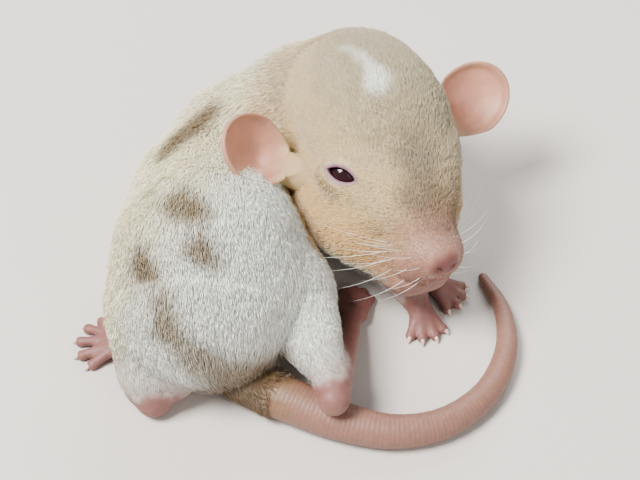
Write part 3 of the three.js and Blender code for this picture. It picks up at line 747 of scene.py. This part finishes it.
# Ears: big, round and low on the head, as this kind of rat has. Each is a thin cup on a short
# stalk, with its open side turned forwards and up, and a rolled rim.
EAR_ROOT = (10.9, -5.9, -4.8)
EAR_AIM = (0.83, -0.26, 0.50)
EAR_FACE = (0.30, 0.26, 0.93)
EAR_LENGTH, EAR_WIDTH, EAR_CUP, EAR_THICKNESS = 10.6, 8.6, 2.2, 0.5
EAR_STEP = 0.2
EAR_PINK, EAR_EDGE = (0.56, 0.26, 0.175), (0.38, 0.21, 0.13)


def ear_axes(side):
    axis = along_head(side * EAR_AIM[0], EAR_AIM[1], EAR_AIM[2])
    face = along_head(side * EAR_FACE[0], EAR_FACE[1], EAR_FACE[2])
    normal = face - axis * (face @ axis)
    normal = normal / np.linalg.norm(normal)
    root = on_head(side * EAR_ROOT[0], EAR_ROOT[1], EAR_ROOT[2])
    return root, axis, np.cross(axis, normal), normal


def ear_place(points, side):
    root, axis, across, normal = ear_axes(side)
    rel = points - root
    along, wide, lift = rel @ axis / EAR_LENGTH, rel @ across, rel @ normal
    narrow = 0.72 + 0.28 * np.clip(along * 2.2, 0.0, 1.0)
    r = np.hypot((along - 0.5) / 0.5, wide / (EAR_WIDTH / 2 * narrow))
    cup = EAR_CUP * (np.minimum(r, 1.2) ** 2 - 1) * (1 - 0.35 * along)
    return along, wide, r, lift - cup


def ear_field(points, side):
    root, axis, across, normal = ear_axes(side)
    along, wide, r, lift = ear_place(points, side)
    flat = 1 / np.sqrt(1 + (2 * EAR_CUP * np.minimum(r, 1.1) / (EAR_WIDTH / 2)) ** 2)
    off_shell = lift * flat
    shell = np.abs(off_shell) - EAR_THICKNESS / 2 * (1.3 - 0.5 * np.minimum(r, 1.0))
    edge = (r - 0.97) * EAR_WIDTH / 2 * 0.9
    d = -smooth_min(-shell, -edge, 0.3)
    rim = np.hypot(edge, off_shell - 0.1) - 0.3
    d = smooth_min(d, np.where(along > 0.08, rim, 5.0), 0.3)
    base = np.array((*(root - axis * 2.6), 2.5))
    top = np.array((*(root + axis * 2.0 - normal * EAR_CUP * 0.75), 1.6))
    d = smooth_min(d, limb(points, [base, top]), 1.0)
    fold = [np.array((*(root + axis * a + across * side * w - normal * n), s))
            for a, w, n, s in ((1.6, -1.4, 1.0, 0.7), (3.6, -2.2, 1.2, 0.45), (5.4, -2.5, 1.5, 0.2))]
    return smooth_min(d, limb(points, fold), 0.8)


ear_material = living_material(
    "ear", None, 500.0, 0.2, 0.5, bump=0.2, Subsurface_Weight=0.3, Subsurface_Scale=0.0012
)
for side_name, side in SIDES.items():
    root, axis, across, normal = ear_axes(side)
    middle = root + axis * EAR_LENGTH * 0.42
    ear_points, ear_quads = net(
        lambda p: ear_field(p, side), middle - 8.5, middle + 8.5, EAR_STEP
    )
    ear_points = move_onto(lambda p: ear_field(p, side), ear_points, 2, EAR_STEP * 0.5)
    ear = mesh_object(f"ear_skin_{side_name}", ear_points, ear_quads)
    along, wide, r, lift = ear_place(ear_points, side)
    ear_colour = np.tile(np.array(EAR_PINK), (len(ear_points), 1))
    ear_colour = mix(ear_colour, EAR_EDGE, fade(r, 0.75, 1.0) * 0.8)
    ear_colour = mix(ear_colour, HOOD, 0.7 * fade(-lift, 0.0, 0.3) + 0.9 * fade(-along, -0.3, 0.0))
    paint(ear, "colour", ear_colour)
    ear.data.materials.append(ear_material)
    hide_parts(f"ear_{side_name}")
    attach(ear, "root")

# Claws: a short pale hook on every toe, bent down to the floor
CLAW_COLOUR = (0.72, 0.55, 0.47)
CLAW_SIDES = 8
CLAW_BEND = ((0.3, 0.2, 0.3), (1.1, 0.12, 0.25), (1.6, -0.15, 0.17))
CLAW_TIP = (2.0, 0.16, 0.04)


def tube(stations, sides):
    """Points and triangles of a round tube through rows of place and radius, tipped at each end."""
    path = np.array(stations, float)
    at, radii = path[:, :3], path[:, 3]
    forward = np.gradient(at, axis=0)
    forward /= np.linalg.norm(forward, axis=1)[:, None]
    points = []
    across = np.array((0.0, 0.0, 1.0)) if abs(forward[0, 2]) < 0.9 else np.array((1.0, 0.0, 0.0))
    turns = np.arange(sides) * 2 * math.pi / sides
    for p, f, r in zip(at, forward, radii):
        across = across - f * (across @ f)
        across = across / np.linalg.norm(across)
        up = np.cross(f, across)
        points.append(p + r * (np.outer(np.cos(turns), across) + np.outer(np.sin(turns), up)))
    points = np.vstack(points + [at[:1], at[-1:]])
    faces = []
    for i in range(1, len(at)):
        for s in range(sides):
            a, b = (i - 1) * sides + s, (i - 1) * sides + (s + 1) % sides
            faces += [(a, b, b + sides), (a, b + sides, a + sides)]
    start, end, last = len(points) - 2, len(points) - 1, (len(at) - 1) * sides
    for s in range(sides):
        after = (s + 1) % sides
        faces += [(start, after, s), (end, last + s, last + after)]
    return points, np.array(faces)


def joined_tubes(rows, sides):
    all_points, all_faces, offset = [], [], 0
    for stations in rows:
        points, faces = tube(stations, sides)
        all_points.append(points)
        all_faces.append(faces + offset)
        offset += len(points)
    return np.vstack(all_points), np.vstack(all_faces)


claw_rows = []
for made in toes.values():
    for heading, stations in made:
        x, y, z, r = stations[-1]
        rows = []
        for reach, height, radius in (*((a, z + rise, c) for a, rise, c in CLAW_BEND), CLAW_TIP):
            rows.append((*(np.array((x, y, 0.0)) + heading * r * reach)[:2], height, radius))
        claw_rows.append(rows)
claws = mesh_object("claws", *joined_tubes(claw_rows, CLAW_SIDES))
claw_material = living_material("claw", CLAW_COLOUR, 900.0, 0.1, 0.3)
claws.data.materials.append(claw_material)
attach(claws, "root")

# Whiskers: fine pale hairs in rows on each whisker pad, swept out, back and a little down
WHISKER_ROWS, WHISKERS_A_ROW = 3, 5
WHISKER_LENGTH = (4.0, 8.0)
WHISKER_RADIUS = 0.032
WHISKER_COLOUR = (0.85, 0.82, 0.76)
whisker_rows = []
whisker_rng = np.random.default_rng(11)
for side in SIDES.values():
    for row in range(WHISKER_ROWS):
        for place in range(WHISKERS_A_ROW):
            back_share = place / (WHISKERS_A_ROW - 1)
            start = on_head(side * (2.2 + 1.3 * back_share), 12.0 - 4.2 * back_share, -4.6 - 1.1 * row)
            root = on_surface(head_field, start)[0]
            out = np.array((0.9, 0.15 - 0.55 * back_share, 0.15 - 0.4 * row)) + whisker_rng.normal(0, 0.1, 3)
            sweep = np.array((0.1, -0.9, -0.35))
            length = WHISKER_LENGTH[0] + (WHISKER_LENGTH[1] - WHISKER_LENGTH[0]) * back_share
            rows = []
            for t in np.linspace(-0.06, 1, 9):
                local = out * t + sweep * max(t, 0) ** 2 * 0.45
                p = root + HEAD_TURN @ (local * np.array((side, 1, 1))) * length
                rows.append((p[0], p[1], max(p[2], 0.15), WHISKER_RADIUS * (1.05 - max(t, 0))))
            whisker_rows.append(rows)
whiskers = mesh_object("whiskers", *joined_tubes(whisker_rows, 5))
whisker_material = living_material("whisker", WHISKER_COLOUR, 900.0, 0.05, 0.35)
whiskers.data.materials.append(whisker_material)
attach(whiskers, "root")

# Coat: short soft fur in fine tapered tufts, laid from the nose back over the head, down the
# trunk to the tail and down each leg. It is shortest on the face and stops at the lids, the nose
# pad, the wrists and the heels. Every tuft has three sides, a bend and a tip.
FUR_LENGTH = {"trunk": 1.5, "head": 0.95, "leg": 1.1, "face": 0.4}
FUR_DENSITY = {"trunk": 30.0, "head": 42.0}
TUFT_RADIUS = 0.06
TUFT_LIFT, TIP_LIFT = 22.0, 8.0
CLUMP_SIZE = 1.1
TUFT_PATCH = 0.003
LIE = [
    NECK[:0:-1] + TRUNK[::-1],
    [TRUNK[0], TAIL[1]],
    *[stations[-2:] for stations in LEGS.values()],
    TAIL[:4],
]


def unit(vectors):
    return vectors / np.maximum(np.linalg.norm(vectors, axis=1), 1e-9)[:, None]


def lie_of_coat(points, d, normals):
    flow = np.zeros_like(points)
    for line in LIE:
        for a, b in zip(line, line[1:]):
            heading = np.array(b[:3]) - np.array(a[:3])
            near = np.exp(-np.maximum(limb(points, [a, b]) + 1.0, 0.0) / 2.2)
            flow += near[:, None] * (heading / np.linalg.norm(heading))
    flow[:, 2] -= 0.25 * np.linalg.norm(flow, axis=1)
    q = in_head(points)
    from_nose = unit(q - np.array((0.0, 15.5, -3.2))) + np.array((0.0, -0.45, -0.1))
    head_flow = unit(from_nose) @ HEAD_TURN.T
    on_head_skin = (1 - fade(d["head"], 0.0, 1.5))[:, None]
    flow = unit(flow) * (1 - on_head_skin) + head_flow * on_head_skin
    return unit(flow - normals * np.sum(flow * normals, axis=1)[:, None])


body_fur, face_fur = furred(skin_points, skin_parts)
on_trunk = fade(skin_parts["head"] - np.minimum(skin_parts["trunk"], skin_parts["leg"]), -4.0, 6.0)
on_leg = fade(skin_parts["trunk"] - skin_parts["leg"], 0.5, 3.0)
fur_length = FUR_LENGTH["head"] + (FUR_LENGTH["trunk"] - FUR_LENGTH["head"]) * on_trunk
fur_length += (FUR_LENGTH["leg"] - fur_length) * on_leg * on_trunk
fur_length = FUR_LENGTH["face"] + (fur_length - FUR_LENGTH["face"]) * face_fur
fur_density = FUR_DENSITY["head"] + (FUR_DENSITY["trunk"] - FUR_DENSITY["head"]) * on_trunk
keep = fade(body_fur, 0.15, 0.7) * fade(skin_points[:, 2], 0.05, 0.5)
face_q = in_head(skin_points)
keep *= fade(egg(face_q, (0, 13.2, -3.9), (2.0, 1.9, 1.8)), 0.0, 0.5)
for side_name in SIDES:
    reach, height = slit_reach(skin_points, side_name)
    near_eye = (np.abs(height) < 3) & (skin_parts["head"] < 2)
    keep *= np.where(near_eye, fade(reach, 0.45, 1.0), 1.0)
    fur_length = np.where(near_eye, np.minimum(fur_length, 0.5 + 0.35 * np.maximum(reach, 0)), fur_length)
for groove in (mouth_right, mouth_left, lip_split):
    keep *= fade(limb(skin_points, groove), 0.0, 0.3)
ankle = fade(skin_parts["foot"] - skin_parts["leg"], 0.3, 4.5)
fur_length *= 0.45 + 0.55 * ankle
fur_density = fur_density * keep * (0.2 + 0.8 * ankle)
lie = lie_of_coat(skin_points, skin_parts, skin_normals)

coat_rng = np.random.default_rng(5)
corners = skin_points[skin_quads]
quad_area = 0.5 * np.linalg.norm(
    np.cross(corners[:, 2] - corners[:, 0], corners[:, 3] - corners[:, 1]), axis=1
)
expected = quad_area * fur_density[skin_quads].mean(axis=1)
chosen = np.repeat(np.arange(len(skin_quads)), coat_rng.poisson(expected))
s, t = coat_rng.random((2, len(chosen)))
weights = np.column_stack([(1 - s) * (1 - t), s * (1 - t), s * t, (1 - s) * t])


def at_roots(values):
    picked = values[skin_quads[chosen]]
    return np.einsum("nk,nk...->n...", weights, picked)


roots = at_roots(skin_points)
root_normal = unit(at_roots(skin_normals))
root_lie = unit(at_roots(lie))
root_length = at_roots(fur_length) * coat_rng.uniform(0.75, 1.2, len(chosen))
root_colour = at_roots(skin_colours)
clump_cell = np.floor(roots / CLUMP_SIZE + ripple(roots, 0.9, 8)[:, None] * 0.4).astype(int)
clump = (clump_cell[:, 0] * 73856093 ^ clump_cell[:, 1] * 19349663 ^ clump_cell[:, 2] * 83492791) % 4096
clump_lean = coat_rng.normal(0, 0.1, 4096)[clump]
clump_rise = coat_rng.normal(0, 3.0, 4096)[clump]
lean = clump_lean + coat_rng.normal(0, 0.1, len(chosen))
sideways = np.cross(root_normal, root_lie)
heading = root_lie * np.cos(lean)[:, None] + sideways * np.sin(lean)[:, None]
lift = np.radians(TUFT_LIFT + clump_rise + coat_rng.normal(0, 5, len(chosen)))
tip_lift = lift - math.radians(TUFT_LIFT - TIP_LIFT)
first = heading * np.cos(lift)[:, None] + root_normal * np.sin(lift)[:, None]
second = heading * np.cos(tip_lift)[:, None] + root_normal * np.sin(tip_lift)[:, None]
bend_at = roots + first * (root_length * 0.5)[:, None]
tip_at = bend_at + second * (root_length * 0.5)[:, None]
thick = TUFT_RADIUS * np.clip(root_length / 1.2, 0.6, 1.15)
brightness = coat_rng.normal(1.0, 0.05, len(chosen)) + coat_rng.normal(0, 0.02, 4096)[clump]


def tuft_points(chosen_tufts):
    """Seven points for each tuft: three at the root, three at the bend and the tip."""
    k = chosen_tufts
    side_axis = np.cross(first[k], root_normal[k])
    side_axis = unit(side_axis)
    up_axis = np.cross(side_axis, first[k])
    rings = []
    for centre, share in ((roots[k] - root_normal[k] * 0.12, 1.0), (bend_at[k], 0.8)):
        for turn in (0.0, 2.094, 4.189):
            offset = side_axis * math.cos(turn) + up_axis * math.sin(turn) * 0.7
            rings.append(centre + offset * (thick[k] * share)[:, None])
    rings.append(tip_at[k])
    points = np.stack(rings, axis=1)
    points[:, :, 2] = np.maximum(points[:, :, 2], 0.06)
    return points


TUFT_FACES = np.array([
    (0, 1, 4), (0, 4, 3), (1, 2, 5), (1, 5, 4), (2, 0, 3), (2, 3, 5), (3, 4, 6), (4, 5, 6), (5, 3, 6)
])
# Each tuft is darker at its root as painted self-shadow among the tufts, and a little lighter at its tip as
# painted light.
TUFT_ROOT_SHADE_TIP_LIGHT = np.array([0.88, 0.88, 0.88, 1.0, 1.0, 1.0, 1.06])
PATCH_SHAPE = np.array([
    (-0.5, -0.5), (0.5, -0.5), (0.0, -0.4), (-0.4, 0.2), (0.4, 0.2), (0.0, 0.3), (0.0, 0.5)
])

# The coat's own map: the skin is unwrapped, and each tuft becomes a small patch where its root is
for obj in bpy.context.selected_objects:
    obj.select_set(False)
skin.data.uv_layers.new(name="OFBake")
bpy.context.view_layer.objects.active = skin
skin.select_set(True)
bpy.ops.object.mode_set(mode="EDIT")
bpy.ops.mesh.select_all(action="SELECT")
bpy.ops.uv.smart_project(angle_limit=math.radians(66), island_margin=0.004)
bpy.ops.object.mode_set(mode="OBJECT")
skin_uv = np.zeros(len(skin.data.loops) * 2, np.float32)
skin.data.uv_layers["OFBake"].data.foreach_get("uv", skin_uv)
skin_uv = skin_uv.reshape(len(skin_quads), 4, 2)
root_uv = np.einsum("nk,nkc->nc", weights, skin_uv[chosen])

coat_material = living_material(
    "coat", None, 2500.0, 0.06, 0.62, Sheen_Weight=0.25, Sheen_Roughness=0.4
)
parts_at_root = {name: at_roots(value) for name, value in skin_parts.items()}
on_the_head = parts_at_root["head"] < np.minimum(parts_at_root["trunk"], parts_at_root["leg"])
front = in_head(roots)[:, 1] > -3.0
to_right = in_head(roots)[:, 0] > 0.0
legs_nearest = parts_at_root["leg"] < parts_at_root["trunk"]
outside = roots[:, 0] < -14.0
behind = roots[:, 1] < -10.0
on_body = ~on_the_head & ~legs_nearest
in_front = on_body & (roots[:, 1] > 2.0)
COAT_PIECES = {
    "face_right": on_the_head & front & to_right,
    "face_left": on_the_head & front & ~to_right,
    "crown_right": on_the_head & ~front & to_right,
    "crown_left": on_the_head & ~front & ~to_right,
    "forelegs": ~on_the_head & legs_nearest & (roots[:, 0] > 0.0) & (roots[:, 1] > -14.0),
    "hind_legs": ~on_the_head & legs_nearest & ((roots[:, 0] <= 0.0) | (roots[:, 1] <= -14.0)),
    "chest": in_front & (roots[:, 0] > -7.0),
    "shoulders": in_front & (roots[:, 0] <= -7.0),
    "back": on_body & ~behind & (roots[:, 1] <= 2.0),
    "rump_outside": on_body & behind & outside,
    "rump_inside": on_body & behind & ~outside,
}
for piece_name, members in COAT_PIECES.items():
    k = np.flatnonzero(members)
    points = tuft_points(k)
    faces = (TUFT_FACES[None] + np.arange(len(k))[:, None, None] * 7).reshape(-1, 3)
    piece = mesh_object(f"coat_{piece_name}", points.reshape(-1, 3), faces)
    tint = root_colour[k][:, None, :] * (TUFT_ROOT_SHADE_TIP_LIGHT[None, :] * brightness[k][:, None])[:, :, None]
    paint(piece, "colour", np.clip(tint, 0.0, 0.95).reshape(-1, 3))
    patches = root_uv[k][:, None, :] + PATCH_SHAPE[None] * TUFT_PATCH
    loop_uv = patches[:, TUFT_FACES.ravel(), :].reshape(-1, 2).astype(np.float32)
    piece.data.uv_layers.new(name="OFBake").data.foreach_set("uv", loop_uv.ravel())
    piece.data.materials.append(coat_material)
    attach(piece, "root")

# Camera: where the photo was taken from, 50 degrees above the floor and about 210 mm away
CAMERA_ELEVATION = 50.0
CAMERA_DISTANCE = 210.0
CAMERA_LENS = 90.45
camera_data = bpy.data.cameras.new("camera")
camera_data.lens = CAMERA_LENS
camera_data.sensor_width = 36.0
camera_data.clip_start = 0.01
camera = bpy.data.objects.new("camera", camera_data)
bpy.context.scene.collection.objects.link(camera)
elevation = math.radians(CAMERA_ELEVATION)
back = Vector((0.0, -math.cos(elevation), math.sin(elevation)))
camera.location = Vector(-MIDDLE / 1000.0) + back * CAMERA_DISTANCE / 1000.0
camera.rotation_mode = "QUATERNION"
camera.rotation_quaternion = (-back).to_track_quat("-Z", "Y")
bpy.context.scene.camera = camera

# Floor and light: a plain pale floor under soft light from a large window at the upper left
floor_mesh = bpy.data.meshes.new("floor")
floor_mesh.from_pydata([(-2, -2, 0), (2, -2, 0), (2, 2, 0), (-2, 2, 0)], [], [(0, 1, 2, 3)])
floor = bpy.data.objects.new("floor", floor_mesh)
bpy.context.scene.collection.objects.link(floor)
FLOOR_COLOUR = (0.6, 0.56, 0.52, 1.0)
FLOOR_ROUGHNESS = 0.8
floor_material = bpy.data.materials.new("floor")
floor_material.use_nodes = True
floor_shader = floor_material.node_tree.nodes["Principled BSDF"]
floor_shader.inputs["Base Color"].default_value = FLOOR_COLOUR
floor_shader.inputs["Roughness"].default_value = FLOOR_ROUGHNESS
floor_mesh.materials.append(floor_material)
LIGHTS = {
    "key": ((-0.25, -0.1, 0.45), 0.2, 8.5, (1.0, 0.97, 0.93)),
    "fill": ((0.35, -0.35, 0.3), 0.4, 1.4, (1.0, 0.93, 0.88)),
    "rim": ((0.1, 0.4, 0.3), 0.3, 2.5, (0.95, 0.97, 1.0)),
}
for light_name, (place, wide, power, colour) in LIGHTS.items():
    lamp_data = bpy.data.lights.new(light_name, "AREA")
    lamp_data.size = wide
    lamp_data.energy = power
    lamp_data.color = colour
    lamp = bpy.data.objects.new(light_name, lamp_data)
    lamp.location = place
    lamp.rotation_mode = "QUATERNION"
    lamp.rotation_quaternion = (-Vector(place)).to_track_quat("-Z", "Y")
    bpy.context.scene.collection.objects.link(lamp)
world = bpy.data.worlds.new("room")
world.use_nodes = True
world.node_tree.nodes["Background"].inputs["Color"].default_value = (0.85, 0.87, 0.9, 1)
world.node_tree.nodes["Background"].inputs["Strength"].default_value = 0.45
bpy.context.scene.world = world
